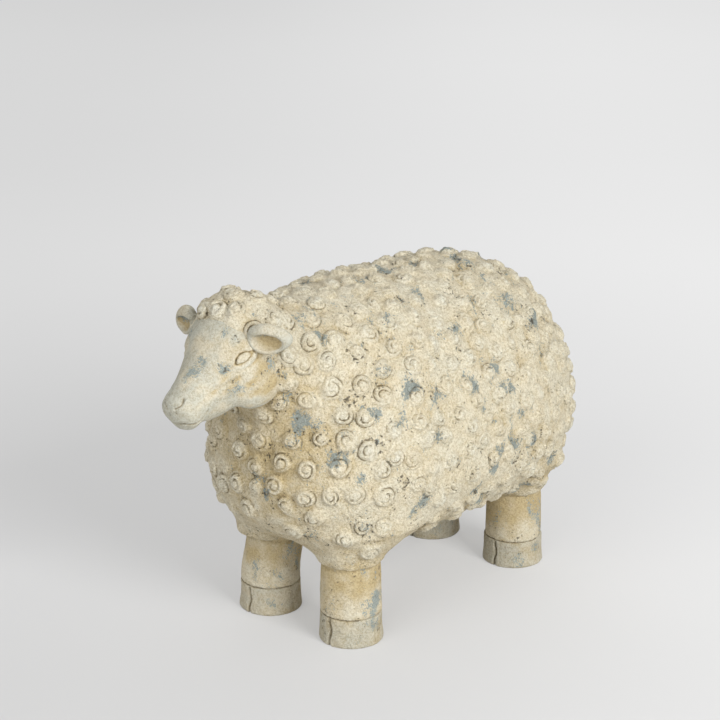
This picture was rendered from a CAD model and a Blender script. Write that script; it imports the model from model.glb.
import math
from itertools import product

import bpy
import numpy as np
from bpy.props import FloatProperty, FloatVectorProperty, IntProperty, PointerProperty
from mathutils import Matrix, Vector


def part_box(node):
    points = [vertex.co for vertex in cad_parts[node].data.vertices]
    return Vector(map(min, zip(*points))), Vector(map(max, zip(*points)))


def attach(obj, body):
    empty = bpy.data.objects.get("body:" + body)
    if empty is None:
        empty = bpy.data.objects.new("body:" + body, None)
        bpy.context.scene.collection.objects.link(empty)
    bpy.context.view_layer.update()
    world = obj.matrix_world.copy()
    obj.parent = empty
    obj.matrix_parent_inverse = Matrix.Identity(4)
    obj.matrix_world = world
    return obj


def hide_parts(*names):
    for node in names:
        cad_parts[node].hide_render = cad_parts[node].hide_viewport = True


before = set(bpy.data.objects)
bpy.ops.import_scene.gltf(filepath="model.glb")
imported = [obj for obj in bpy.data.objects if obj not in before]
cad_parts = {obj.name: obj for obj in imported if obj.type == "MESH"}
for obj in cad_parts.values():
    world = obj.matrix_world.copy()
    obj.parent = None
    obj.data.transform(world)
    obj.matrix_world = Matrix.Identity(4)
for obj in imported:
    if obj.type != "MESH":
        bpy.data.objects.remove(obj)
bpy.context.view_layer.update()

bl_info = {
    "name": "Cast Sheep Ornament",
    "version": (1, 0, 0),
    "blender": (4, 5, 0),
    "location": "View3D > Sidebar > Sheep",
    "description": "Dresses the sheep ornament's solids as a weathered casting with a curled fleece",
    "category": "Object",
}

mm = 0.001
sides = {"left": 1, "right": -1}
ends = ("front", "rear")


# Sizes and colours

class SheepSizes(bpy.types.PropertyGroup):
    """Sizes of the visible castings under their curls."""
    body_length: FloatProperty(
        name="Body length", description="Chest to rump", default=0.425, unit="LENGTH")
    body_width: FloatProperty(
        name="Body width", description="Across the flanks", default=0.268, unit="LENGTH")
    body_above: FloatProperty(
        name="Back", description="Widest level up to the back", default=0.1715, unit="LENGTH")
    body_below: FloatProperty(
        name="Belly", description="Widest level down to the belly", default=0.098, unit="LENGTH")
    belly_height: FloatProperty(
        name="Belly height", description="Floor to the belly", default=0.077, unit="LENGTH")
    bluntness: FloatProperty(name="Bluntness", description="Exponent of the body ends", default=2.7)
    rear_leg_inset: FloatProperty(
        name="Rear leg inset", description="Rump to the rear leg axes", default=0.084, unit="LENGTH")
    leg_radius: FloatProperty(
        name="Leg radius", description="At the top of the hoof", default=0.0308, unit="LENGTH")
    hoof_height: FloatProperty(
        name="Hoof height", description="Floor to the line above the hoof", default=0.030, unit="LENGTH")
    cuff_height: FloatProperty(
        name="Cuff height", description="Floor to the fleece round a leg", default=0.084, unit="LENGTH")
    cuff_rise: FloatProperty(
        name="Cuff rise", description="Bottom edge to the widest place", default=0.040, unit="LENGTH")
    wall: FloatProperty(
        name="Wall", description="Thickness of the hollow casting", default=0.012, unit="LENGTH")
    curl_radius: FloatProperty(
        name="Curl radius", description="Half the width of a curl", default=0.0099, unit="LENGTH")
    curl_spacing: FloatProperty(
        name="Curl spacing", description="Least distance between curls", default=0.0212, unit="LENGTH")
    curl_relief: FloatProperty(
        name="Curl relief", description="How far a fresh curl stands out", default=0.0050, unit="LENGTH")
    fleece_grain: FloatProperty(
        name="Fleece mesh", description="Edge length of the fleece mesh", default=0.0027, unit="LENGTH")
    curl_seed: IntProperty(name="Curl seed", description="Places the curls that are hidden", default=7)


class SheepFinish(bpy.types.PropertyGroup):
    """Colours of the paint layers and of the casting under them."""
    cream: FloatVectorProperty(
        name="Cream", description="Paint", subtype="COLOR", default=(0.850, 0.770, 0.585))
    ochre: FloatVectorProperty(
        name="Ochre", description="Stain in the hollows", subtype="COLOR", default=(0.66, 0.53, 0.295))
    chalk: FloatVectorProperty(
        name="Chalk", description="Pale bloom", subtype="COLOR", default=(0.88, 0.855, 0.725))
    grey: FloatVectorProperty(
        name="Grey", description="Casting under the paint", subtype="COLOR", default=(0.280, 0.318, 0.296))
    dirt: FloatVectorProperty(
        name="Dirt", description="Pores and cracks", subtype="COLOR", default=(0.10, 0.085, 0.06))
    mortar: FloatVectorProperty(
        name="Mortar", description="Blocks inside", subtype="COLOR", default=(0.32, 0.31, 0.28))
    steel: FloatVectorProperty(
        name="Steel", description="Rods inside", subtype="COLOR", default=(0.36, 0.35, 0.34))
    floor: FloatVectorProperty(
        name="Floor", description="Stage", subtype="COLOR", default=(0.72, 0.72, 0.72))


def sizes():
    return bpy.context.scene.sheep_sizes


def finish():
    return bpy.context.scene.sheep_finish


# Small tools for shaping

def deselect():
    if bpy.context.mode != "OBJECT":
        bpy.ops.object.mode_set(mode="OBJECT")
    bpy.ops.object.select_all(action="DESELECT")


def make_active(piece):
    deselect()
    piece.select_set(True)
    bpy.context.view_layer.objects.active = piece


def points(piece):
    out = np.empty(len(piece.data.vertices) * 3)
    piece.data.vertices.foreach_get("co", out)
    return out.reshape(-1, 3)


def put_points(piece, places):
    piece.data.vertices.foreach_set("co", np.asarray(places, dtype=np.float64).ravel())
    piece.data.update()


def keep_values(piece, **wear):
    """Stores numbers for each vertex, which the finishes read."""
    for name, values in wear.items():
        layer = piece.data.attributes.get(name) or piece.data.attributes.new(name, "FLOAT", "POINT")
        layer.data.foreach_set("value", np.asarray(values, dtype=np.float32))


def apply_modifier(piece, kind, **settings):
    make_active(piece)
    modifier = piece.modifiers.new("work", kind)
    for key, value in settings.items():
        setattr(modifier, key, value)
    bpy.ops.object.modifier_apply(modifier=modifier.name)


def ball_start(name, middle, radii, segments=48, rings=32):
    """A sphere primitive stretched to a box, with its place in the mesh."""
    deselect()
    bpy.ops.mesh.primitive_uv_sphere_add(segments=segments, ring_count=rings, radius=1)
    piece = bpy.context.active_object
    piece.name = name
    put_points(piece, points(piece) * np.array(radii) + np.array(middle))
    return piece


def post_start(name, x, y, radius, low, high, segments=64):
    """A cylinder primitive that stands upright."""
    deselect()
    bpy.ops.mesh.primitive_cylinder_add(vertices=segments, radius=radius, depth=high - low)
    piece = bpy.context.active_object
    piece.name = name
    put_points(piece, points(piece) + np.array((x, y, (low + high) / 2)))
    return piece


def box_start(name, middle, lengths, turn=None):
    """A cube primitive, turned about its middle if asked."""
    deselect()
    bpy.ops.mesh.primitive_cube_add(size=1)
    piece = bpy.context.active_object
    piece.name = name
    places = points(piece) * np.array(lengths)
    if turn is not None:
        places = places @ np.array(turn).T
    put_points(piece, places + np.array(middle))
    return piece


def join(name, pieces):
    deselect()
    for piece in pieces:
        piece.select_set(True)
    bpy.context.view_layer.objects.active = pieces[0]
    bpy.ops.object.join()
    pieces[0].name = name
    return pieces[0]


def copy_of(piece, name):
    make_active(piece)
    bpy.ops.object.duplicate()
    twin = bpy.context.active_object
    twin.name = name
    return twin


def carve(piece, tool, operation="DIFFERENCE"):
    """Cuts one closed piece with another, which is used up."""
    apply_modifier(piece, "BOOLEAN", object=tool, operation=operation, solver="MANIFOLD")
    if not len(piece.data.polygons):
        raise RuntimeError(f"nothing is left of {piece.name}")
    bpy.data.objects.remove(tool, do_unlink=True)


# Surfaces as distances: below zero is inside the casting

def smooth_join(a, b, round_by):
    overlap = np.clip(round_by - np.abs(a - b), 0, None) / round_by
    return np.minimum(a, b) - overlap * overlap * round_by / 4


def smooth_both(a, b, round_by):
    return -smooth_join(-a, -b, round_by)


def ellipsoid_distance(p, middle, radii):
    radii = np.stack(np.broadcast_arrays(*(np.asarray(r, dtype=float) for r in radii)), -1)
    q = (p - np.array(middle)) / radii
    k0 = np.sqrt((q * q).sum(1)) + 1e-9
    r = q / radii
    k1 = np.sqrt((r * r).sum(1)) + 1e-9
    return k0 * (k0 - 1) / k1


def slope_of(distance, p, step=0.0004):
    out = np.empty_like(p)
    for axis in range(3):
        shift = np.zeros(3)
        shift[axis] = step
        out[:, axis] = (distance(p + shift) - distance(p - shift)) / (2 * step)
    return out


def settle(distance, p, rounds=4, reach=0.006):
    """Moves points on to a surface along its slope, and gives its normals there."""
    for _ in range(rounds):
        slope = slope_of(distance, p)
        size = (slope * slope).sum(1) + 1e-9
        move = np.clip(distance(p) / np.sqrt(size), -reach, reach)
        p = p - slope * (move / np.sqrt(size))[:, None]
    slope = slope_of(distance, p)
    return p, slope / (np.linalg.norm(slope, axis=1)[:, None] + 1e-9)


def grain(p, size, seed=0):
    """Smooth random values from -1 to 1 over cells of a given size."""
    q = p / size + 173.3 + seed * 31.7
    cell = np.floor(q).astype(np.int64)
    f = q - cell
    f = f * f * f * (f * (f * 6 - 15) + 10)
    total = np.zeros(len(p))
    for dx, dy, dz in product((0, 1), repeat=3):
        h = (cell[:, 0] + dx) * 73856093 ^ (cell[:, 1] + dy) * 19349663 ^ (cell[:, 2] + dz) * 83492791
        h = (h ^ (seed * 2654435761)) & 0xFFFFFFFF
        h = ((h ^ (h >> 15)) * 2246822519) & 0xFFFFFFFF
        h = ((h ^ (h >> 13)) * 3266489917) & 0xFFFFFFFF
        h = (h ^ (h >> 16)) & 0xFFFFFFFF
        value = h / 2147483647.5 - 1
        weight = ((f[:, 0] if dx else 1 - f[:, 0]) * (f[:, 1] if dy else 1 - f[:, 1])
                  * (f[:, 2] if dz else 1 - f[:, 2]))
        total += weight * value
    return total


def ramp(value, low, high):
    t = np.clip((value - low) / (high - low), 0, 1)
    return t * t * (3 - 2 * t)


def band(value, middle, width):
    """1 at the middle, and next to nothing two widths away."""
    return np.exp(-((value - middle) / width) ** 2)


# Where things are, read from the solids

legs = [(end, hand) for end in ends for hand in sides]

def leg_axis(end, hand):
    low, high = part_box(f"leg_{end}_{hand}")
    return (low[0] + high[0]) / 2, (low[1] + high[1]) / 2


def body_middle():
    s = sizes()
    return leg_axis("rear", "left")[1] + s.rear_leg_inset - s.body_length / 2


def widest():
    s = sizes()
    return s.belly_height + s.body_below


def body_heart():
    """A place well inside the barrel, where the balls that become it start."""
    return 0, body_middle(), widest() + 0.03


def head_point():
    s = sizes()
    return np.array((0, body_middle() - s.body_length / 2 - 0.015, widest() + 0.140))


def neck_root():
    s = sizes()
    return np.array((0, body_middle() - s.body_length / 2 + 0.100, widest() + 0.090))


neck_joint_back = 0.037
bond_gap = 0.0003
leg_top = 0.1365
head_slope = math.radians(31)
face_way = np.array((0, -math.cos(head_slope), -math.sin(head_slope)))
brow_way = np.array((0, -math.sin(head_slope), math.cos(head_slope)))


def to_head(p):
    """Sideways, along the face towards the nose, and out towards the brow."""
    d = p - head_point()
    return np.stack([d[:, 0], d @ face_way, d @ brow_way], 1)


def from_head(q):
    q = np.asarray(q, dtype=float)
    return head_point() + q[:, :1] * np.array((1, 0, 0)) + q[:, 1:2] * face_way + q[:, 2:3] * brow_way


def barrel_distance(p, inset=0.0):
    s = sizes()
    n = s.bluntness
    a = s.body_width / 2 - inset
    b = s.body_length / 2 - inset
    z = p[:, 2] - widest()
    c = np.where(z > 0, s.body_above, s.body_below) - inset
    y = p[:, 1] - body_middle()
    u, w, v = p[:, 0] / a, z / c, np.abs(y) / b
    round_part = u * u + w * w + 1e-9
    m = round_part ** (n / 2) + v ** n
    gauge = m ** (1 / n)
    lead = m ** (1 / n - 1)
    gx = lead * round_part ** (n / 2 - 1) * u / a
    gz = lead * round_part ** (n / 2 - 1) * w / c
    gy = lead * v ** (n - 1) / b
    return (gauge - 1) / np.sqrt(gx * gx + gy * gy + gz * gz + 1e-12)


def cuff_distance(p, x, y):
    s = sizes()
    t = np.clip((p[:, 2] - s.cuff_height) / s.cuff_rise, 0, 2.2)
    lip = s.leg_radius + 0.0020
    wide = s.leg_radius + 0.030
    radius = np.where(t < 1, lip + (wide - lip) * t ** 1.5, wide - (wide - lip) * 0.8 * (t - 1) ** 2)
    drift = np.minimum(t ** 1.3, 1.6)
    in_x = (-0.004 if x > 0 else 0.004) * drift
    in_y = (0.015 if y < body_middle() else -0.015) * drift
    ring = (np.hypot(p[:, 0] - x - in_x, p[:, 1] - y - in_y) - radius) * 0.8
    ring = smooth_both(ring, s.cuff_height - p[:, 2], 0.004)
    return np.maximum(ring, p[:, 2] - s.cuff_height - 1.9 * s.cuff_rise)


def neck_distance(p):
    root, end = neck_root(), head_point()
    run = np.linalg.norm(end - root)
    way = (end - root) / run
    up = np.array((0, -way[2], way[1])) * (-1 if way[1] < 0 else 1)
    d = p - root
    share = np.clip(d @ way / run, -0.2, 1.15)
    half_width = 0.095 - 0.052 * share + 0.004 * share * share
    half_depth = 0.083 - 0.048 * share + 0.009 * share * share
    q = np.hypot(d[:, 0] / half_width, (d @ up) / half_depth)
    side = (q - 1) * np.minimum(half_width, half_depth) * 0.93
    side = smooth_both(side, (d @ way) - run + 0.003, 0.014)
    return smooth_both(side, -(d @ way) - 0.020, 0.016)


poll_rise = np.array((0, 0.002, 0.020))
poll_radii = (0.0435, 0.0360, 0.0330)


def poll_distance(p):
    return ellipsoid_distance(p, head_point() + poll_rise, poll_radii)


def fleece_distance(p):
    d = barrel_distance(p)
    for end, hand in legs:
        d = smooth_join(d, cuff_distance(p, *leg_axis(end, hand)), 0.020)
    d = smooth_join(d, neck_distance(p), 0.030)
    return smooth_join(d, poll_distance(p), 0.010)


# Head, ears and tail as distances

def smooth_curve(x, knots, values):
    """A smooth line through given values."""
    knots, values = np.array(knots, dtype=float), np.array(values, dtype=float)
    step = np.diff(knots)
    rise = np.diff(values) / step
    slope = np.concatenate([rise[:1], (rise[:-1] + rise[1:]) / 2, rise[-1:]])
    i = np.clip(np.searchsorted(knots, x) - 1, 0, len(knots) - 2)
    t = np.clip((x - knots[i]) / step[i], 0, 1)
    h = step[i]
    return ((2 * t ** 3 - 3 * t ** 2 + 1) * values[i] + (t ** 3 - 2 * t ** 2 + t) * h * slope[i]
            + (3 * t ** 2 - 2 * t ** 3) * values[i + 1] + (t ** 3 - t ** 2) * h * slope[i + 1])


# Along the face in millimetres: half width, half depth and how far the middle lies towards the brow
face_knots = (-40, -28, 0, 19.6, 41.2, 62.7, 82.3, 93.1, 98)
face_half_width = (24, 37, 43.4, 41.2, 32.8, 24.1, 20.5, 16.5, 7)
face_half_depth = (22, 33.6, 40, 38.7, 29.3, 24.5, 18.8, 14.8, 6.3)
face_middle = (5, 5, 5, 3, 0, -1, -1, -1, -1)
# Middle, radii and blend of the muzzle, the cheeks, the jaw and the chin
head_forms = (
    ((0, 83, -1), (20.5, 14, 17), 5),
    ((25.0, 12, -20), (21.2, 33.5, 28), 10),
    ((0, 46, -17), (23, 31, 17), 9),
    ((0, 86, -12.5), (12.5, 10.5, 6.5), 4),
)


def head_distance(p):
    q = to_head(p) / mm
    x, along, out = np.abs(q[:, 0]), q[:, 1], q[:, 2]
    wide = smooth_curve(along, face_knots, face_half_width)
    deep = smooth_curve(along, face_knots, face_half_depth)
    shift = smooth_curve(along, face_knots, face_middle)
    d = (np.hypot(x / wide, (out - shift) / deep) - 1) * np.minimum(wide, deep)
    d = smooth_both(d, along - face_knots[-1], 6)
    d = smooth_both(d, face_knots[0] - along, 6)
    half = np.stack([x, along, out], 1)
    for middle, radii, blend in head_forms:
        d = smooth_join(d, ellipsoid_distance(half, middle, radii), blend)
    return d * mm


ear_slope = math.radians(8)
ear_front = np.array((0, -math.cos(ear_slope), -math.sin(ear_slope)))
ear_up = np.array((0, -math.sin(ear_slope), math.cos(ear_slope)))
ear_out = 0.0550
ear_turn = 0.42
ear_droop = {"left": 0.0, "right": 0.40}
ear_drop = {"left": 0.0025, "right": -0.0015}


def ear_middle(hand):
    low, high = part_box(f"ear_{hand}")
    back, level = (low[1] + high[1]) / 2 + 0.001, (low[2] + high[2]) / 2 + ear_drop[hand]
    return np.array((sides[hand] * ear_out, back, level))


def ear_distance(p, hand, side=None):
    """The cupped ear, or only its outside (side 0) or its scoop (side 1)."""
    d = p - ear_middle(hand)
    out, front = d[:, 0] * sides[hand], d @ ear_front
    up = d @ ear_up + ear_droop[hand] * out
    q = np.stack([out - ear_turn * front, front + ear_turn * out, up], 1) / mm
    q[:, 2] -= 0.10 * np.clip(q[:, 0], -30, 30) * 0.2
    q[:, 1] += 0.004 * q[:, 0] ** 2 - 1.0
    leaf = ellipsoid_distance(q, (0, 0, 0), (24.5, 8.8, 14.6 - 0.12 * q[:, 0]))
    hollow = ellipsoid_distance(q, (-3.0, 8.4, -2.8), (19.0, 10.0, 9.4))
    if side is not None:
        return (leaf, -hollow)[side] * mm
    return smooth_both(leaf, -hollow, 3.0) * mm


def tail_form():
    """Middle and radii of the smooth tail."""
    low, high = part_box("tail")
    middle = ((low[0] + high[0]) / 2, high[1] - 0.0220, (low[2] + high[2]) / 2)
    return middle, (0.0205, 0.0225, (high[2] - low[2]) / 2)


def tail_distance(p):
    middle, (wide, deep, tall) = tail_form()
    return ellipsoid_distance(p, middle, (wide, deep, tall + 0.001))


def groove_along(p, line, width):
    """How near each point is to a line of given points, from 0 to 1."""
    out = np.full(len(p), 1e9)
    for a, b in zip(line[:-1], line[1:]):
        way = b - a
        t = np.clip((p - a) @ way / (way @ way + 1e-12), 0, 1)
        out = np.minimum(out, ((p - a - t[:, None] * way) ** 2).sum(1))
    return np.exp(-out / width ** 2)


# Carved lines of the face in millimetres: points sideways, along the face and towards the brow,
# then width, depth and how dark
face_lines = (
    (((0, 98, -6), (6, 98, -5.2), (11, 96, -4.6), (15.6, 89.6, -6.5), (18.5, 81, -8.5), (20.5, 74, -6.5)),
     1.35, 2.0, 0.9),
    (((9.8, 82.9, 16.1), (11.3, 86.7, 14.7), (10.2, 90.6, 13.5), (5.6, 94.2, 12.1)), 1.1, 1.5, 0.8),
    (((32.8, 31.8, 16.5), (29.4, 37.1, 16.6), (24.1, 45.8, 17.1)), 2.0, 0.8, 0.2),
    (((23.4, 61.5, 6.2), (27.0, 52.5, 6.0), (31.6, 43.6, 4.7), (36.3, 36.0, 4.3)), 2.6, 1.3, 0.22),
    (((39.2, 15.0, 18.8), (41.2, 9.4, 16.4), (42.5, 5.0, 13.8)), 1.1, 0.8, 0.6),
    (((0, 98, -6), (0, 98, 4)), 1.3, 0.6, 0.1),
)
eye_inner = (33.4, 30.4, 17.3)
eye_outer = (39.5, 14.8, 17.8)
# Places on the face where the paint has flaked off
face_flakes = (
    (3.8, 51.7, 25.8), (3.3, 57.6, 24.3), (7.8, 47.5, 26.2), (1, 62, 23), (19.5, 15.2, 38.7),
    (28.9, 16.3, 32), (33.8, 42.3, -4.2), (29.5, 46, -6), (45.3, 3.3, 0.1), (44, 6, -6), (26.6, 41.1, 17.2),
    (-22, 25, 36), (-38, 20, 0), (-24, 60, 2), (30, 20, -36),
)


# Curls

# Middles of the curls that the photograph shows, marked by eye and carried on to the body, in millimetres
measured_curls = (
    (18, -203, 359), (18, -175, 366), (-1, -210, 358), (-17, -212, 352), (54, -170, 284), (43, -174, 263),
    (21, -176, 246), (-9, -172, 230), (12, -171, 219), (48, -164, 226), (61, -156, 268), (-49, -165, 214),
    (-15, -172, 204), (6, -173, 192), (38, -169, 203), (74, -135, 278), (87, -133, 252), (88, -110, 278),
    (101, -93, 266), (99, -114, 247), (72, -149, 231), (90, -132, 229), (111, -90, 233), (65, -163, 200),
    (88, -140, 203), (105, -118, 217), (113, -106, 197), (31, -172, 178), (7, -173, 171),
    (-20, -173, 168), (63, -162, 171), (85, -149, 174), (100, -130, 176), (116, -105, 170),
    (42, -169, 159), (68, -154, 148), (85, -130, 125), (94, -103, 107), (-10, -169, 142), (96, -118, 139),
    (108, -101, 137), (119, -93, 208), (58, -144, 322), (61, -158, 303), (68, -134, 303), (62, -119, 320),
    (56, -96, 332), (77, -102, 305), (72, -80, 319), (93, -83, 288), (91, -65, 306), (94, -35, 305),
    (103, -53, 287), (106, -29, 281), (53, -72, 336), (53, -51, 340), (62, -33, 335), (59, 1, 330),
    (76, -20, 322), (67, 31, 323), (47, -20, 344), (53, 54, 332), (83, 7, 308), (96, 17, 294),
    (71, -53, 324), (107, -1, 276), (114, -17, 260), (73, 58, 319), (86, 44, 304), (27, -103, 346),
    (30, -45, 348), (-6, 11, 348), (19, 39, 347), (29, 19, 341), (46, 27, 336), (55, -170, 314),
    (78, 80, 314), (2, 46, 349), (94, 64, 296), (102, 45, 285), (108, 93, 274), (122, -37, 233),
    (117, 46, 258), (118, 79, 252), (125, 53, 235), (120, 101, 243), (128, -9, 231), (125, -53, 218),
    (130, -34, 216), (130, 30, 218), (130, 96, 218), (127, 149, 190), (96, 104, 293), (111, 123, 263),
    (132, 125, 176), (132, 88, 191), (131, 46, 202), (133, 0, 192), (55, 87, 330), (68, 106, 322),
    (79, 126, 308), (70, 161, 306), (123, -74, 201), (131, -26, 188), (119, -5, 130), (134, 36, 173),
    (124, 44, 138), (120, 21, 133), (116, 136, 125), (134, 61, 172), (131, -18, 162), (128, -55, 169),
    (72, 241, 207), (41, 236, 123), (47, 174, 317), (95, 64, 105), (102, 212, 200), (105, 136, 272),
    (86, 207, 255), (78, 236, 154), (41, 136, 332), (19, 207, 308), (125, 69, 138), (41, -155, 128),
    (55, 217, 282), (122, 136, 230), (134, 98, 177), (126, -69, 176), (46, 255, 174), (83, 174, 287),
    (111, 179, 230), (46, 245, 241), (121, 112, 135), (95, 21, 105),
)

# Places where the paint has flaked off the fleece, marked in the same way
measured_flakes = (
    (118, 53, 257), (123, 62, 242), (126, 74, 236), (119, 20, 252), (116, -30, 255), (120, -74, 233),
    (112, -78, 239), (107, -107, 223), (131, 85, 207), (134, 60, 186), (132, 102, 176), (91, 0, 301),
    (91, 25, 301), (103, 19, 284), (34, 113, 338), (52, 117, 329), (48, 12, 337), (5, 18, 346),
    (71, -52, 324), (93, -83, 289), (107, -58, 274), (110, -63, 266), (60, -20, 336), (93, 150, 285),
    (78, 119, 310), (21, 117, 341), (39, -129, 343), (59, -130, 326), (10, -74, 351), (13, -24, 352),
    (56, -158, 249), (48, -163, 237), (47, -165, 228), (23, -172, 167), (13, -173, 182), (49, -169, 269),
    (102, -125, 188), (96, -117, 139), (101, -113, 133), (55, -146, 123), (90, -128, 238),
    (72, -147, 241), (85, -140, 212), (101, -104, 254), (132, -20, 186), (126, -45, 217), (134, 47, 180),
    (133, 73, 180), (133, 40, 163), (90, 131, 101), (99, 137, 109), (126, 18, 142), (120, 34, 128),
    (118, 154, 135), (123, -60, 152), (120, -66, 143),
)


most_tries = 14000


def scatter(places, spacing, seed, taken):
    """Adds seeded places that keep their distance from each other and from those taken."""
    order = np.random.default_rng(seed).permutation(len(places))
    held = np.array(taken)
    for index in order[:most_tries]:
        place = places[index]
        if len(held) and ((held - place) ** 2).sum(1).min() < spacing ** 2:
            continue
        held = np.vstack([held, place])
    return held


def curl_places(base):
    """Measured curls first, then a seeded scatter over the rest of the fleece."""
    s = sizes()
    measured = np.array(measured_curls) * mm
    twins = measured[measured[:, 0] > 0.012] * np.array((-1, 1, 1))
    clash = ((twins[:, None, :] - measured[None]) ** 2).sum(2).min(1) < 0.020 ** 2
    measured = settle(fleece_distance, np.vstack([measured, twins[~clash]]), 6)[0]
    high = base[base[:, 2] > s.cuff_height + 0.012]
    head = to_head(high)
    clear = high[~((head[:, 1] > 0.007) | ((head[:, 1] > -0.03) & (head[:, 2] < 0.02)))]
    return scatter(clear, s.curl_spacing, s.curl_seed, measured)


def freshness(p):
    """How crisp the carving is: fresh at the neck and chest, worn on the flank, back and rump."""
    front = ramp(-(p[:, 1] - body_middle()), 0.03, 0.17)
    return np.clip(0.84 + 0.16 * front + 0.20 * grain(p, 0.06, 11), 0.4, 1)


# The spiral groove, in shares of a curl's radius
spiral_pitch = 0.50
spiral_end = 1.02
block = 8000


def curl_relief(base, normals, middles, seed=3):
    """Height over the smooth form, the raised share and the cut share of each point."""
    s = sizes()
    pick = np.random.default_rng(seed)
    count = len(middles)
    chest = ramp(-(middles[:, 1] - body_middle()), 0.06, 0.15)
    radius = s.curl_radius * pick.uniform(0.84, 1.10, count) * (0.92 + 0.10 * chest)
    start = pick.uniform(0, 2 * math.pi, count)
    turn = np.where(pick.random(count) < 0.8, 1.0, -1.0)
    tilt_way = pick.uniform(0, 2 * math.pi, count)
    fresh_all = np.clip(freshness(middles) * pick.uniform(0.7, 1.15, count), 0.15, 1)
    height, knob, groove = np.zeros((3, len(base)))
    for first in range(0, len(base), block):
        part = slice(first, first + block)
        p, n = base[part], normals[part]
        gap = ((p[:, None, :] - middles[None]) ** 2).sum(2)
        near = gap.argmin(1)
        d = p - middles[near]
        side = np.cross(np.array((0.0, 0.0, 1.0)), n)
        side /= np.linalg.norm(side, axis=1)[:, None] + 1e-9
        rise = np.cross(n, side)
        a, b = (d * side).sum(1), (d * rise).sum(1)
        r = np.sqrt(gap[np.arange(len(p)), near])
        angle = np.arctan2(b, a)
        first_turn = start[near]
        uneven = 1 + 0.05 * np.sin(2 * angle + first_turn * 3) + 0.03 * np.sin(3 * angle + first_turn * 7)
        rho = r / (radius[near] * uneven)
        fresh = fresh_all[near]
        mound = 1 - ramp(rho, 0.45, 1.75)
        dome = 1 - ramp(rho, 0.62, 1.24)
        eye = 1 - ramp(rho, 0.04, 0.46)
        moat = np.exp(-((rho - 1.27) / 0.15) ** 2)
        tilt = 0.25 * np.clip(rho, 0, 1) * np.cos(angle - tilt_way[near])
        turns = turn[near] * (angle - first_turn) / (2 * math.pi)
        phase = (rho - spiral_end + spiral_pitch * (turns - np.floor(turns))) / spiral_pitch
        off = np.abs(phase - np.round(phase)) * spiral_pitch
        reach = ramp(rho, 0.18, 0.32) * (1 - ramp(rho, 1.06, 1.18))
        lee = np.cos(angle - tilt_way[near] - 2.6)
        dug = 0.50 + 0.50 * ramp(lee + 0.5 * grain(p, 0.006, 13), -0.7, 0.7)
        crisp = fresh ** 0.9
        valley = (1 - ramp(off, 0.02, 0.17)) * reach * dug * crisp
        cut = np.exp(-(off / 0.080) ** 2) * reach * dug * crisp
        knob[part] = np.clip((0.75 * dome + 0.35 * eye) * (0.6 + 0.4 * fresh) * (1 - 0.7 * valley), 0, 1)
        dirt = 0.74 + 0.26 * ramp(-(p[:, 1] - body_middle()), 0.10, 0.19)
        groove[part] = np.clip(dirt * (1.1 * cut + 0.40 * moat * dug * fresh), 0, 1)
        raised = s.curl_relief * (0.24 * mound + dome * (0.50 + 0.14 * fresh) * (1 + tilt) + 0.14 * eye)
        height[part] = raised - 0.0026 * valley - 0.0008 * moat * dug
    return height, knob, groove


def rough_fleece(base):
    """Lumps and dents of the casting between the curls."""
    lumps = 0.0013 * grain(base, 0.023, 1) + 0.0012 * grain(base, 0.0105, 2)
    creases = np.abs(grain(base, 0.0120, 3))
    fine = 0.00065 * grain(base, 0.0052, 4)
    worn = 1 - 0.5 * freshness(base)
    fringe = 1 - ramp(head_distance(base), 0.002, 0.009)
    tufts = 0.0016 * fringe * grain(base, 0.0085, 5)
    return worn * (lumps + fine) + tufts - 0.0011 * worn * (1 - ramp(creases, 0.0, 0.16))


def near_any(p, places, reach):
    """How near each point is to any of the places, from 0 to 1."""
    out = np.zeros(len(p))
    for place in places:
        out = np.maximum(out, np.exp(-((p - place) ** 2).sum(1) / reach ** 2))
    return out


def fleece_stain(p):
    """Ochre under the head, beside the neck and at the cuffs."""
    s = sizes()
    throat = head_point() + np.array((0, 0.03, -0.09))
    under = 1 - ramp(np.linalg.norm(p - throat, axis=1), 0.03, 0.13)
    cuffs = 1 - ramp(p[:, 2], s.cuff_height, s.cuff_height + 0.07)
    return np.clip(0.46 * under + 0.34 * cuffs + 0.14 * grain(p, 0.05, 21), 0, 1)


def dress_skin(piece, distance, middles, flakes):
    """Raises the curls on the outer skin of a fleece piece and stores its wear for the finish."""
    places = points(piece)
    skin = np.abs(distance(places)) < 0.0005
    base, normals = settle(distance, places[skin], rounds=1)
    height, knob, groove = curl_relief(base, normals, middles)
    rough = rough_fleece(base)
    places[skin] = base + normals * ((height + rough)[:, None])
    put_points(piece, places)
    wear = {"relief": np.clip(0.36 + 0.50 * knob + rough / 0.0045, 0, 1), "line": groove,
            "stain": fleece_stain(base), "chip": near_any(base, flakes, 0.0085)}
    for name, value in wear.items():
        full = np.full(len(places), 0.3 if name == "relief" else 0.0)
        full[skin] = value
        keep_values(piece, **{name: full})


def finish_piece(piece, node, kind):
    """Names and paints a piece, and puts it in the place of its solid."""
    piece.name = piece.data.name = "cast_" + node
    piece.data.materials.clear()
    piece.data.materials.append(worn_paint(kind))
    make_active(piece)
    bpy.ops.object.shade_smooth_by_angle(angle=math.radians(60))
    for modifier in list(piece.modifiers):
        bpy.ops.object.modifier_apply(modifier=modifier.name)
    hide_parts(node)
    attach(piece, "root")


# Finishes

def new_finish(name):
    material = bpy.data.materials.get(name)
    if material:
        return material, None
    material = bpy.data.materials.new(name)
    material.use_nodes = True
    material.node_tree.nodes.clear()
    return material, material.node_tree


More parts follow.
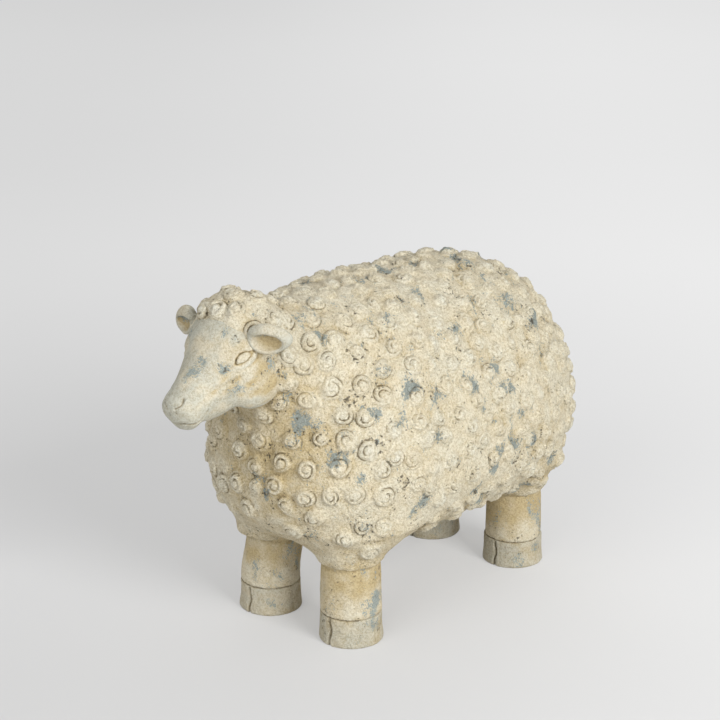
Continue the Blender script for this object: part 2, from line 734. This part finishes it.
class Nodes:
    """Short hand for wiring a finish."""

    def __init__(self, tree):
        self.tree = tree
        self.place = self.add("ShaderNodeTexCoord").outputs["Object"]

    def add(self, kind, **settings):
        node = self.tree.nodes.new(kind)
        for key, value in settings.items():
            setattr(node, key, value)
        return node

    def wire(self, value, socket):
        if isinstance(value, bpy.types.NodeSocket):
            self.tree.links.new(value, socket)
        elif isinstance(value, (tuple, list)) and len(value) == 3 and socket.type == "RGBA":
            socket.default_value = (*value, 1)
        else:
            socket.default_value = value

    def noise(self, scale, detail=4, rough=0.55, stretch=None, warp=0.0):
        node = self.add("ShaderNodeTexNoise")
        place = self.place
        if stretch:
            mapping = self.add("ShaderNodeMapping")
            mapping.inputs["Scale"].default_value = stretch
            self.wire(place, mapping.inputs["Vector"])
            place = mapping.outputs["Vector"]
        self.wire(place, node.inputs["Vector"])
        node.inputs["Scale"].default_value = scale
        node.inputs["Detail"].default_value = detail
        node.inputs["Roughness"].default_value = rough
        node.inputs["Distortion"].default_value = warp
        return node.outputs["Fac"]

    def value(self, name):
        return self.add("ShaderNodeAttribute", attribute_name=name).outputs["Fac"]

    def sum(self, *terms):
        total = None
        for factor, socket in terms:
            node = self.add("ShaderNodeMath", operation="MULTIPLY_ADD")
            self.wire(socket, node.inputs[0])
            node.inputs[1].default_value = factor
            self.wire(total if total is not None else 0.0, node.inputs[2])
            total = node.outputs[0]
        return total

    def math(self, operation, a, b=0.0):
        node = self.add("ShaderNodeMath", operation=operation)
        self.wire(a, node.inputs[0])
        self.wire(b, node.inputs[1])
        return node.outputs[0]

    def ramp(self, socket, low, high, to_low=0.0, to_high=1.0):
        node = self.add("ShaderNodeMapRange", interpolation_type="SMOOTHSTEP")
        self.wire(socket, node.inputs["Value"])
        node.inputs["From Min"].default_value = low
        node.inputs["From Max"].default_value = high
        node.inputs["To Min"].default_value = to_low
        node.inputs["To Max"].default_value = to_high
        return node.outputs["Result"]

    def mix(self, factor, a, b, blend="MIX"):
        node = self.add("ShaderNodeMix", data_type="RGBA", blend_type=blend)
        self.wire(factor, node.inputs["Factor"])
        self.wire(a, node.inputs["A"])
        self.wire(b, node.inputs["B"])
        return node.outputs["Result"]

    def bump(self, height, distance, strength=1.0):
        node = self.add("ShaderNodeBump")
        node.inputs["Strength"].default_value = strength
        node.inputs["Distance"].default_value = distance
        self.wire(height, node.inputs["Height"])
        return node.outputs["Normal"]

    def surface(self, colour, roughness, normal, specular=0.25, metallic=0.0):
        shader = self.add("ShaderNodeBsdfPrincipled")
        self.wire(colour, shader.inputs["Base Color"])
        self.wire(roughness, shader.inputs["Roughness"])
        self.wire(normal, shader.inputs["Normal"])
        shader.inputs["Specular IOR Level"].default_value = specular
        shader.inputs["Metallic"].default_value = metallic
        out = self.add("ShaderNodeOutputMaterial")
        self.tree.links.new(shader.outputs[0], out.inputs["Surface"])


def shades(colour, *levels):
    return [tuple(c * level for c in colour) for level in levels]


# Name, chalk, ochre, grit, pale film and brightness of the paint on each kind of casting
paints = {
    "fleece": ("worn_cream_fleece", 0.10, 0.0, 1.0, 0.0, 0.89),
    "face": ("worn_pale_face", 0.10, 0.0, 0.8, 0.55, 0.74),
    "leg": ("worn_ochre_leg", 0.0, 0.22, 0.8, 0.0, 0.77),
    "hoof": ("worn_pale_hoof", 0.0, 0.16, 0.85, 0.35, 0.685),
}
film_colour = (0.55, 0.575, 0.515)
grit_shade = (0.73, 0.685, 0.595)
rust_colour = (0.18, 0.08, 0.035)


def worn_paint(kind):
    """Cream paint over a grey casting: ochre in the hollows, chalk on what stands out, flaked and pitted."""
    name, chalky, ochre, grit, film, level = paints[kind]
    material, tree = new_finish(name)
    if tree is None:
        return material
    f = finish()
    n = Nodes(tree)
    relief, line = n.value("relief"), n.value("line")
    stain, chip = n.value("stain"), n.value("chip")
    broad = n.noise(9, 3, 0.5)
    patch = n.noise(38, 6, 0.62)
    mottled = n.noise(80, 6, 0.66)
    grains = n.ramp(n.noise(210, 4, 0.62), 0.37, 0.63)
    specks = n.ramp(n.noise(460, 4, 0.66), 0.36, 0.64)
    sand = n.ramp(n.noise(1000, 2, 0.6), 0.35, 0.65)
    texture = n.sum((0.20, grains), (0.44, specks), (0.36, sand))
    pale_cream = tuple(0.5 * (a + b) for a, b in zip(f.cream, f.chalk))
    cream = n.mix(n.ramp(patch, 0.36, 0.64), tuple(f.cream), pale_cream)
    low = n.sum((-1.2, relief), (0.50, mottled), (0.40, broad), (1.0, stain), (0.14, grains), (0.4, line))
    colour = n.mix(n.ramp(low, -0.02 - ochre, 0.92 - ochre, 0.0, 0.95), cream, tuple(f.ochre))
    high = n.sum((0.9, relief), (0.45, mottled), (0.35, patch), (-0.6, stain))
    colour = n.mix(n.ramp(high, 1.0 - chalky, 1.45 - chalky, 0.0, 0.85), colour, tuple(f.chalk))
    if film:
        haze = n.sum((1.0, n.noise(24, 5, 0.62)), (0.20, relief), (-0.25, stain))
        colour = n.mix(n.ramp(haze, 0.46, 0.74, 0.0, film), colour, film_colour)
    dull = tuple(level * (1 - grit * (1 - c)) for c in grit_shade)
    tone = n.mix(n.ramp(texture, 0.20, 0.66), dull, (level, level, level))
    colour = n.mix(1.0, colour, tone, "MULTIPLY")
    torn = n.noise(50, 7, 0.64, stretch=(1, 1, 0.55), warp=0.7)
    jagged = n.ramp(n.sum((0.86, torn), (0.14, specks)), 0.32, 0.68)
    flake_field = n.sum((1.0, jagged), (0.62, chip), (-0.26, relief))
    flakes = n.ramp(flake_field, 0.87, 0.90)
    grey = n.mix(sand, *shades(f.grey, 0.80, 1.20))
    colour = n.mix(n.math("MULTIPLY", flakes, 0.93), colour, grey)
    pit_field = n.sum((1.0, n.noise(250, 4, 0.70)), (0.50, n.noise(32, 4, 0.66)),
                      (-0.10, relief), (0.04, line), (0.05, chip))
    pits = n.ramp(pit_field, 0.86, 0.90)
    colour = n.mix(n.math("MULTIPLY", pits, 0.55 + 0.33 * grit), colour, tuple(f.dirt))
    edge = n.ramp(n.sum((1.0, line), (-0.20, grains)), 0.14, 0.85, 0.0, 0.78)
    colour = n.mix(edge, colour, *shades(f.ochre, 0.24))
    roughness = n.ramp(sand, 0.0, 1.0, 0.80, 0.97)
    shape = n.sum((0.40, grains), (0.38, specks), (0.14, sand), (-0.45, pits), (-0.20, flakes))
    normal = n.bump(shape, 0.0017 * grit ** 2.5, 1.0)
    n.surface(colour, roughness, normal)
    return material


def mortar_finish():
    material, tree = new_finish("grey_mortar")
    if tree is None:
        return material
    f = finish()
    n = Nodes(tree)
    sand = n.noise(420, 5, 0.65)
    lumps = n.noise(40, 4, 0.55)
    colour = n.mix(n.ramp(lumps, 0.3, 0.7), *shades(f.mortar, 0.8, 1.2))
    colour = n.mix(n.ramp(sand, 0.62, 0.70), colour, *shades(f.mortar, 0.5))
    normal = n.bump(n.sum((0.6, sand), (0.4, lumps)), 0.0012, 0.8)
    n.surface(colour, n.ramp(sand, 0.3, 0.7, 0.85, 0.98), normal)
    return material


def rod_finish():
    material, tree = new_finish("dull_steel_rod")
    if tree is None:
        return material
    f = finish()
    n = Nodes(tree)
    drawn = n.noise(90, 4, 0.6, stretch=(6, 6, 0.5))
    rust = n.noise(60, 6, 0.65)
    colour = n.mix(n.ramp(drawn, 0.3, 0.7), *shades(f.steel, 0.85, 1.1))
    colour = n.mix(n.ramp(rust, 0.58, 0.72, 0.0, 0.7), colour, rust_colour)
    n.surface(colour, n.ramp(rust, 0.4, 0.7, 0.35, 0.8), n.bump(drawn, 0.0003, 0.5), 0.5, 0.85)
    return material


# Pieces

def neck_cut_box():
    """Everything on the head's side of the flat neck joint."""
    root, end = neck_root(), head_point()
    way = (end - root) / np.linalg.norm(end - root)
    up = np.cross(way, (1, 0, 0))
    turn = np.stack([np.array((1, 0, 0)), up, way], 1)
    middle = end - way * neck_joint_back + way * 0.25
    return middle, turn


# Balls that the neck and the head start from: share of the way and radius, then millimetres
neck_balls = ((0.25, 0.078), (0.6, 0.064), (0.85, 0.052))
head_balls = ((-12, 36), (10, 38), (32, 33), (52, 25), (70, 20), (82, 18))
poll_start_radii = (0.0435, 0.0360, 0.0355)


class SHEEP_OT_fleece(bpy.types.Operator):
    """Models the curled fleece as one form, then parts it into its two shells and the neck collar"""
    bl_idname = "sheep.fleece"
    bl_label = "Fleece"

    def execute(self, context):
        s = sizes()
        barrel = ball_start("barrel", body_heart(), (s.body_width / 2, s.body_length / 2, 0.135), 96, 64)
        put_points(barrel, settle(barrel_distance, points(barrel), 8, 0.02)[0])
        starts = [barrel]
        radius, top = s.leg_radius + 0.004, s.cuff_height + 0.060
        for end, hand in legs:
            starts.append(post_start("cuff", *leg_axis(end, hand), radius, s.cuff_height, top))
        root, point = neck_root(), head_point()
        for share, size in neck_balls:
            middle = root + share * (point - root)
            starts.append(ball_start("neck", middle, (size, size * 0.95, size * 0.95)))
        starts.append(ball_start("poll", point + poll_rise, poll_start_radii))
        fleece = join("fleece", starts)
        apply_modifier(fleece, "REMESH", mode="VOXEL", voxel_size=0.004)
        put_points(fleece, settle(fleece_distance, points(fleece), 6)[0])
        apply_modifier(fleece, "REMESH", mode="VOXEL", voxel_size=s.fleece_grain)
        base = settle(fleece_distance, points(fleece), 3)[0]
        put_points(fleece, base)
        middles = curl_places(base)
        self.refine(fleece, middles)
        front = (base[:, 1] < body_middle() - 0.11) & (base[:, 0] > -0.10)
        hidden = (base[:, 0] < 0.02) & ~front & (np.linalg.norm(base - head_point(), axis=1) > 0.075)
        flakes = scatter(base[hidden], 0.036, 5, np.array(measured_flakes) * mm)

        middle, turn = neck_cut_box()
        collar = copy_of(fleece, "collar")
        carve(collar, box_start("beyond", middle, (0.5, 0.5, 0.5), turn), "INTERSECT")
        carve(fleece, box_start("beyond", middle, (0.5, 0.5, 0.5), turn))
        hollow = ball_start("hollow", body_heart(), (0.11, 0.2, 0.11), 64, 48)
        put_points(hollow, settle(lambda p: barrel_distance(p, s.wall), points(hollow), 10, 0.02)[0])
        carve(fleece, hollow)
        radius, low = s.leg_radius + bond_gap, s.cuff_height - 0.02
        for end, hand in legs:
            carve(fleece, post_start("hole", *leg_axis(end, hand), radius, low, leg_top))
        right = copy_of(fleece, "right")
        carve(fleece, box_start("half", (0.25, 0, 0.2), (0.5, 1.2, 0.8)), "INTERSECT")
        carve(right, box_start("half", (-0.25, 0, 0.2), (0.5, 1.2, 0.8)), "INTERSECT")
        pieces = {"fleece_shell_left": fleece, "fleece_shell_right": right, "neck_collar": collar}
        for node, piece in pieces.items():
            dress_skin(piece, fleece_distance, middles, flakes)
            finish_piece(piece, node, "fleece")
        return {"FINISHED"}

    def refine(self, fleece, middles):
        """Halves the mesh edges where the curls are cut."""
        centres = np.empty(len(fleece.data.polygons) * 3)
        fleece.data.polygons.foreach_get("center", centres)
        centres = centres.reshape(-1, 3)
        pick = np.zeros(len(centres), dtype=bool)
        for first in range(0, len(centres), 20000):
            part = centres[first:first + 20000]
            gap = ((part[:, None, :] - middles[None]) ** 2).sum(2).min(1)
            pick[first:first + 20000] = gap < (1.15 * sizes().curl_radius) ** 2
        make_active(fleece)
        fleece.data.polygons.foreach_set("select", pick)
        bpy.ops.object.mode_set(mode="EDIT")
        bpy.ops.mesh.select_mode(type="FACE")
        bpy.ops.mesh.subdivide(number_cuts=1)
        bpy.ops.object.mode_set(mode="OBJECT")
        put_points(fleece, settle(fleece_distance, points(fleece), 2)[0])


class SHEEP_OT_tail(bpy.types.Operator):
    """Models the short woolly tail on the rump"""
    bl_idname = "sheep.tail"
    bl_label = "Tail"

    def execute(self, context):
        middle, radii = tail_form()
        tail = ball_start("tail", middle, radii)
        apply_modifier(tail, "REMESH", mode="VOXEL", voxel_size=0.0013)
        base, normals = settle(tail_distance, points(tail), 4)
        seen = base[:, 1] > middle[1] + 0.004
        middles = scatter(base[seen], 0.0185, 4, np.empty((0, 3)))
        height, knob, groove = curl_relief(base, normals, middles, 9)
        rough = rough_fleece(base)
        put_points(tail, base + normals * ((height * 0.8 + rough - 0.001)[:, None]))
        keep_values(tail, relief=np.clip(0.4 + 0.5 * knob, 0, 1), line=groove,
                    stain=0.2 + 0.2 * grain(base, 0.02, 8), chip=near_any(base, middles[::3] + 0.009, 0.007))
        body = ball_start("body", body_heart(), (0.11, 0.2, 0.11), 128, 96)
        put_points(body, settle(lambda p: barrel_distance(p, 0.002), points(body), 10, 0.02)[0])
        carve(tail, body)
        finish_piece(tail, "tail", "fleece")
        return {"FINISHED"}


class SHEEP_OT_head(bpy.types.Operator):
    """Models the smooth head with its cheeks, lids, mouth and nostrils"""
    bl_idname = "sheep.head"
    bl_label = "Head"

    def execute(self, context):
        starts = []
        for along, radius in head_balls:
            middle = from_head([(0, along * mm, 0)])[0]
            starts.append(ball_start("head", middle, (radius * mm,) * 3))
        head = join("head", starts)
        apply_modifier(head, "REMESH", mode="VOXEL", voxel_size=0.003)
        put_points(head, settle(head_distance, points(head), 8)[0])
        apply_modifier(head, "REMESH", mode="VOXEL", voxel_size=0.00085)
        base, normals = settle(head_distance, points(head), 4)
        q = to_head(base)
        mirror = np.stack([np.abs(q[:, 0]), q[:, 1], q[:, 2]], 1)
        lines = np.zeros(len(base))
        height = 0.00045 * grain(base, 0.016, 31) + 0.00022 * grain(base, 0.006, 32)
        for line, width, depth, dark in face_lines:
            line = np.array(line) * mm
            line = to_head(settle(head_distance, from_head(line), 6)[0])
            near = groove_along(mirror, line, width * mm)
            height -= near * depth * mm
            lines = np.maximum(lines, near * dark)
        eye_height, eye_line, eye_raised = self.eyes(mirror)
        height += eye_height
        lines = np.maximum(lines, eye_line)
        put_points(head, base + normals * height[:, None])
        face = mirror / mm
        cheek = np.exp(-(((face - np.array((38, 16, -8))) / np.array((30, 20, 26))) ** 2).sum(1))
        muzzle = ramp(face[:, 1], 50, 84)
        brow = np.exp(-(((face - np.array((20, 22, 36))) / np.array((22, 24, 16))) ** 2).sum(1))
        streak = grain(face * mm * np.array((1.0, 0.22, 1.0)), 0.0058, 34)
        patchy = 0.12 * grain(base, 0.02, 33)
        stain = 0.62 * cheek - 0.4 * muzzle - 0.2 * brow + patchy + 0.42 * streak + 0.12
        relief = 0.48 + 0.34 * muzzle + 0.15 * brow - 0.10 * cheek - 0.10 * streak
        relief = relief + 0.3 * eye_raised + height / 0.004
        spots = from_head(np.array(face_flakes) * mm)
        keep_values(head, relief=np.clip(relief, 0, 1), line=lines, stain=np.clip(stain, 0, 1),
                    chip=1.1 * near_any(base, spots, 0.0060))
        finish_piece(head, "head", "face")
        return {"FINISHED"}

    def eyes(self, mirror):
        """Relief of an almond eye with heavy lids, seen from the eye's own middle."""
        inner, outer = np.array(eye_inner) * mm, np.array(eye_outer) * mm
        pair = to_head(settle(head_distance, from_head(np.stack([inner, outer])), 6)[0])
        middle = pair.mean(0)
        middle_out, out = settle(head_distance, from_head(middle[None]), 6)
        middle = to_head(middle_out)[0]
        out = np.array((out[0, 0], out[0] @ face_way, out[0] @ brow_way))
        along = pair[0] - pair[1]
        along -= out * (along @ out)
        along /= np.linalg.norm(along)
        up = np.cross(along, out)
        if up[2] < 0:
            up = -up
        d = (mirror - middle) / mm
        u, v, w = d @ along, d @ up, d @ out
        close = 1 - ramp(np.abs(w), 9, 13)
        v = v + 0.012 * u * u - 0.3
        tall = np.where(v > 0, 4.6, 4.2)
        ring = (np.abs(u / 8.8) ** 1.65 + np.abs(v / tall) ** 1.65) ** (1 / 1.65)
        ball = np.sqrt(np.clip(1 - ring ** 2, 0, 1))
        edge = band(ring, 1, 0.13)
        lid = band(np.hypot(u / 11.0, (v + 0.8) / 6.6), 1, 0.22) * ramp(-v, -1, 3)
        pouch = band(np.hypot((u + 1.5) / 13.0, (v + 0.5) / 10.0), 1, 0.12)
        pouch = pouch * ramp(-v, 1, 5) * ramp(-u, -8, 4)
        fold = band(np.hypot(u / 11.5, v / 7.0), 1, 0.20) * ramp(v, 0, 3)
        height = close * (2.3 * ball - 1.1 * edge + 1.2 * lid + 0.7 * fold - 0.9 * pouch) * mm
        dark = edge * (0.55 + 0.45 * ramp(v + 0.35 * u, -3, 3))
        return height, close * np.clip(dark + 0.40 * pouch, 0, 1), close * np.clip(0.25 * ball + lid, 0, 1)


class SHEEP_OT_ears(bpy.types.Operator):
    """Models the two short cupped ears"""
    bl_idname = "sheep.ears"
    bl_label = "Ears"

    def execute(self, context):
        for hand in sides:
            middle = ear_middle(hand)
            ear = ball_start("ear", middle, (0.025, 0.0085, 0.0145), 64, 48)
            put_points(ear, settle(lambda p: ear_distance(p, hand, 0), points(ear), 6, 0.003)[0])
            inside = middle + np.array((sides[hand] * -0.001, -0.0085, -0.0018))
            scoop = ball_start("scoop", inside, (0.020, 0.0095, 0.009), 64, 48)
            put_points(scoop, settle(lambda p: -ear_distance(p, hand, 1), points(scoop), 6, 0.003)[0])
            carve(ear, scoop)
            apply_modifier(ear, "REMESH", mode="VOXEL", voxel_size=0.0009)
            base, normals = settle(lambda p: ear_distance(p, hand), points(ear), 4, 0.001)
            height = 0.0004 * grain(base, 0.011, 41) + 0.0002 * grain(base, 0.005, 42)
            put_points(ear, base + normals * height[:, None])
            d = base - middle
            up = d @ ear_up
            cup = band(np.hypot((d[:, 0] * sides[hand] - 0.003) / 0.018, (up + 0.001) / 0.010), 0, 1)
            cup *= ramp(-ear_distance(base, hand, 0), 0.0012, 0.0030)
            rim = ramp(np.abs(d[:, 0]), 0.004, 0.022)
            keep_values(ear, relief=np.clip(0.55 + 0.3 * rim - 0.5 * cup, 0, 1), line=0.25 * cup,
                        stain=np.clip(0.75 * cup, 0, 1),
                        chip=1.1 * ramp(cup, 0.10, 0.45) * ramp(up, -0.002, 0.004))
            finish_piece(ear, f"ear_{hand}", "face")
        return {"FINISHED"}


# Places where the paint has flaked off a leg or a hoof, from the leg's axis at the floor
leg_flakes = ((0.030, -0.008, 0.070), (0.029, 0.010, 0.050), (0.006, -0.030, 0.048), (-0.02, 0.023, 0.06))
hoof_flakes = ((0.026, -0.018, 0.012), (0.031, 0.002, 0.020), (-0.01, 0.03, 0.015))


def leg_lean(end, hand):
    """The right front leg leans a little."""
    return np.array((0.0060, 0.0040)) if (end, hand) == ("front", "right") else np.zeros(2)


def rough_post(places, x, y, seed, lumps=0.0007):
    """Uneven walls of a hand finished post: pushes points in and out from its axis."""
    out = places - np.array((x, y, 0))
    size = np.hypot(out[:, 0], out[:, 1]) + 1e-9
    way = np.stack([out[:, 0] / size, out[:, 1] / size, np.zeros(len(out))], 1)
    wall = ramp(size, 0.020, 0.028)
    tall = places * np.array((1, 1, 0.35))
    move = lumps * grain(places, 0.026, seed) + 0.6 * lumps * grain(tall, 0.010, seed + 1)
    move = move + 0.25 * lumps * grain(places, 0.005, seed + 2)
    return places + way * (move * wall)[:, None], way, wall


class SHEEP_OT_legs(bpy.types.Operator):
    """Models the four stout legs with uneven walls"""
    bl_idname = "sheep.legs"
    bl_label = "Legs"

    def execute(self, context):
        s = sizes()
        for number, (end, hand) in enumerate(legs):
            x, y = leg_axis(end, hand)
            low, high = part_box(f"leg_{end}_{hand}")
            leg = post_start("leg", x, y, s.leg_radius, low[2] + 0.0001, high[2], 96)
            apply_modifier(leg, "BEVEL", width=0.0004, segments=2, limit_method="ANGLE")
            apply_modifier(leg, "REMESH", mode="VOXEL", voxel_size=0.0016)
            places, way, wall = rough_post(points(leg), x, y, 50 + 7 * number)
            up = places[:, 2]
            taper = -0.0012 * ramp(up, s.hoof_height, 0.085) - 0.0003
            crease = np.exp(-((up - s.cuff_height + 0.003 + 0.003 * grain(places, 0.03, 77)) / 0.0016) ** 2)
            places += way * ((taper - 0.0008 * crease) * wall)[:, None]
            places[:, :2] += leg_lean(end, hand) * ramp(up, s.hoof_height, 0.1)[:, None]
            put_points(leg, places)
            outer = ramp(way @ np.array((0.9, -0.3, 0)), 0.2, 0.9)
            stain = np.clip(0.55 * ramp(up, 0.035, 0.075) + 0.2 * grain(places, 0.02, 61 + number), 0, 1)
            spots = np.array(leg_flakes) + np.array((x, y, 0))
            keep_values(leg, relief=np.clip(0.42 + 0.25 * grain(places, 0.009, 62), 0, 1), line=0.5 * crease,
                        stain=stain, chip=0.46 * near_any(places, spots, 0.012) + 0.12 * outer)
            finish_piece(leg, f"leg_{end}_{hand}", "leg")
        return {"FINISHED"}


class SHEEP_OT_hooves(bpy.types.Operator):
    """Models the four hooves with their front slits"""
    bl_idname = "sheep.hooves"
    bl_label = "Hooves"

    def execute(self, context):
        s = sizes()
        for number, (end, hand) in enumerate(legs):
            x, y = leg_axis(end, hand)
            low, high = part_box(f"hoof_{end}_{hand}")
            radius = (high[0] - low[0]) / 2
            hoof = post_start("hoof", x, y, radius - 0.0006, low[2], high[2] - 0.0001, 96)
            apply_modifier(hoof, "BEVEL", width=0.0007, segments=2, limit_method="ANGLE")
            apply_modifier(hoof, "REMESH", mode="VOXEL", voxel_size=0.0012)
            places, way, wall = rough_post(points(hoof), x, y, 90 + 7 * number, 0.0006)
            up = places[:, 2]
            slant = 0.0010 * (1 - ramp(up, 0.0, 0.014)) - 0.0004 * ramp(up, 0.003, 0.026)
            slit = np.exp(-((places[:, 0] - x + 0.001 * np.sin(up * 300)) / 0.0011) ** 2) * (way[:, 1] < -0.5)
            slit *= 1 - ramp(up, 0.0265, 0.0295)
            side_line = band(places[:, 1], y, 0.0009) * (np.abs(way[:, 0]) > 0.5)
            side_line *= 1 - ramp(up, 0.022, 0.027)
            places += way * ((slant - 0.0040 * slit - 0.0006 * side_line) * wall)[:, None]
            foot = (up < 0.004)
            places[foot, 2] = np.maximum(places[foot, 2], 0)
            put_points(hoof, places)
            joint = band(up, 0.0298, 0.0010) * ramp(grain(places, 0.02, 65) - way[:, 1], -0.9, 0.6)
            line = np.clip(slit + 0.5 * side_line + 0.8 * joint, 0, 1)
            spots = np.array(hoof_flakes) + np.array((x, y, 0))
            keep_values(hoof, relief=np.clip(0.55 + 0.25 * grain(places, 0.008, 63), 0, 1), line=line,
                        stain=np.clip(0.15 + 0.25 * grain(places, 0.018, 64), 0, 1),
                        chip=0.5 * near_any(places, spots, 0.009))
            finish_piece(hoof, f"hoof_{end}_{hand}", "hoof")
        return {"FINISHED"}


class SHEEP_OT_inside(bpy.types.Operator):
    """Gives the rods, the mortar blocks and the strip inside their finishes"""
    bl_idname = "sheep.inside"
    bl_label = "Inside pieces"

    def execute(self, context):
        for name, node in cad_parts.items():
            if "rod" in name:
                material = rod_finish()
            elif "block" in name or name == "seam_strip":
                material = mortar_finish()
            else:
                continue
            node.data.materials.clear()
            node.data.materials.append(material)
        return {"FINISHED"}


# Where the photograph's camera stands, and how far it looks down and is turned, in degrees
camera_place = (1.273, -1.4316, 0.893)
camera_down = 18.4
camera_turn = 41.9


class SHEEP_OT_stage(bpy.types.Operator):
    """Sets the floor, the soft light and the camera"""
    bl_idname = "sheep.stage"
    bl_label = "Stage"

    def execute(self, context):
        scene = context.scene
        deselect()
        bpy.ops.mesh.primitive_plane_add(size=12)
        floor = context.active_object
        floor.name = "stage_floor"
        material = self.floor_finish()
        floor.data.materials.append(material)

        world = scene.world or bpy.data.worlds.new("studio")
        scene.world = world
        world.use_nodes = True
        self.pale_world(world.node_tree)

        def softbox(name, place, aim, size, power):
            lamp = bpy.data.lights.new(name, "AREA")
            lamp.shape = "RECTANGLE"
            lamp.size, lamp.size_y = size
            lamp.energy = power
            holder = bpy.data.objects.new(name, lamp)
            context.collection.objects.link(holder)
            holder.location = place
            holder.rotation_euler = (Vector(aim) - Vector(place)).to_track_quat("-Z", "Y").to_euler()

        aim = (0, 0.02, 0.2)
        softbox("softbox_right", (2.3, -0.40, 1.3), aim, (1.1, 1.1), 58)
        softbox("softbox_front", (0.4, -2.1, 1.4), aim, (1.6, 1.6), 19)
        softbox("softbox_back", (-1.6, 1.8, 2.6), aim, (2.0, 2.0), 12)

        camera = bpy.data.cameras.new("photo_camera")
        camera.lens = 100
        camera.sensor_width = 36
        holder = bpy.data.objects.new("photo_camera", camera)
        context.collection.objects.link(holder)
        holder.location = camera_place
        holder.rotation_euler = (math.radians(90 - camera_down), 0, math.radians(camera_turn))
        camera.clip_end = 50
        scene.camera = holder
        scene.view_settings.view_transform = "Standard"
        return {"FINISHED"}

    def pale_world(self, tree):
        """Even light all round, which the camera sees a little paler."""
        tree.nodes.clear()
        path = tree.nodes.new("ShaderNodeLightPath")
        chosen = tree.nodes.new("ShaderNodeMixShader")
        out = tree.nodes.new("ShaderNodeOutputWorld")
        for slot, strength in ((1, 0.49), (2, 0.78)):
            glow = tree.nodes.new("ShaderNodeBackground")
            glow.inputs["Color"].default_value = (1, 1, 1, 1)
            glow.inputs["Strength"].default_value = strength
            tree.links.new(glow.outputs[0], chosen.inputs[slot])
        seen = path.outputs["Is Camera Ray"]
        for ray in ("Is Glossy Ray", "Is Transmission Ray"):
            either = tree.nodes.new("ShaderNodeMath")
            either.operation = "MAXIMUM"
            tree.links.new(seen, either.inputs[0])
            tree.links.new(path.outputs[ray], either.inputs[1])
            seen = either.outputs[0]
        tree.links.new(seen, chosen.inputs[0])
        tree.links.new(chosen.outputs[0], out.inputs["Surface"])

    def floor_finish(self):
        """A pale floor that keeps the shadow and stays pale far back."""
        material, tree = new_finish("pale_floor")
        pale = tuple(finish().floor)
        n = Nodes(tree)
        grain_field = n.noise(2.0, 3, 0.5)
        mottle = n.mix(grain_field, *shades(pale, 0.55, 0.57))
        plain = n.add("ShaderNodeBsdfDiffuse")
        n.wire(pale, plain.inputs["Color"])
        seen = n.add("ShaderNodeBsdfDiffuse")
        n.wire(mottle, seen.inputs["Color"])
        far = n.add("ShaderNodeVectorMath", operation="LENGTH")
        n.wire(n.place, far.inputs[0])
        axes = n.add("ShaderNodeSeparateXYZ")
        n.wire(n.place, axes.inputs[0])
        glow = n.add("ShaderNodeEmission")
        across = n.sum((0.74, axes.outputs["X"]), (0.67, axes.outputs["Y"]))
        depth = n.sum((-0.67, axes.outputs["X"]), (0.74, axes.outputs["Y"]))
        level = n.sum((1.0, n.ramp(far.outputs["Value"], 0.2, 1.5, 0.335, 0.455)),
                      (1.0, n.ramp(depth, 1.9, 3.7, 0.0, 0.045)),
                      (1.0, n.ramp(depth, -0.35, 0.10, -0.075, 0.0)),
                      (1.0, n.ramp(across, -0.7, 0.7, -0.055, 0.055)))
        n.wire(level, glow.inputs["Strength"])
        both = n.add("ShaderNodeAddShader")
        tree.links.new(seen.outputs[0], both.inputs[0])
        tree.links.new(glow.outputs[0], both.inputs[1])
        path = n.add("ShaderNodeLightPath")
        direct = n.math("MAXIMUM", path.outputs["Is Camera Ray"], path.outputs["Is Glossy Ray"])
        direct = n.math("MAXIMUM", direct, path.outputs["Is Transmission Ray"])
        chosen = n.add("ShaderNodeMixShader")
        tree.links.new(direct, chosen.inputs[0])
        tree.links.new(plain.outputs[0], chosen.inputs[1])
        tree.links.new(both.outputs[0], chosen.inputs[2])
        out = n.add("ShaderNodeOutputMaterial")
        tree.links.new(chosen.outputs[0], out.inputs["Surface"])
        return material


class SHEEP_PT_panel(bpy.types.Panel):
    """Lists the steps that dress the sheep"""
    bl_label = "Cast Sheep"
    bl_idname = "SHEEP_PT_panel"
    bl_space_type = "VIEW_3D"
    bl_region_type = "UI"
    bl_category = "Sheep"

    def draw(self, context):
        for step in steps:
            self.layout.operator(step.bl_idname)


steps = (SHEEP_OT_fleece, SHEEP_OT_tail, SHEEP_OT_head, SHEEP_OT_ears,
         SHEEP_OT_legs, SHEEP_OT_hooves, SHEEP_OT_inside, SHEEP_OT_stage)
classes = (SheepSizes, SheepFinish, *steps, SHEEP_PT_panel)


def register():
    for item in classes:
        bpy.utils.register_class(item)
    bpy.types.Scene.sheep_sizes = PointerProperty(type=SheepSizes)
    bpy.types.Scene.sheep_finish = PointerProperty(type=SheepFinish)


def unregister():
    del bpy.types.Scene.sheep_finish
    del bpy.types.Scene.sheep_sizes
    for item in reversed(classes):
        bpy.utils.unregister_class(item)


def main():
    register()
    for step in steps:
        group, name = step.bl_idname.split(".")
        getattr(getattr(bpy.ops, group), name)()


if __name__ == "__main__":
    main()
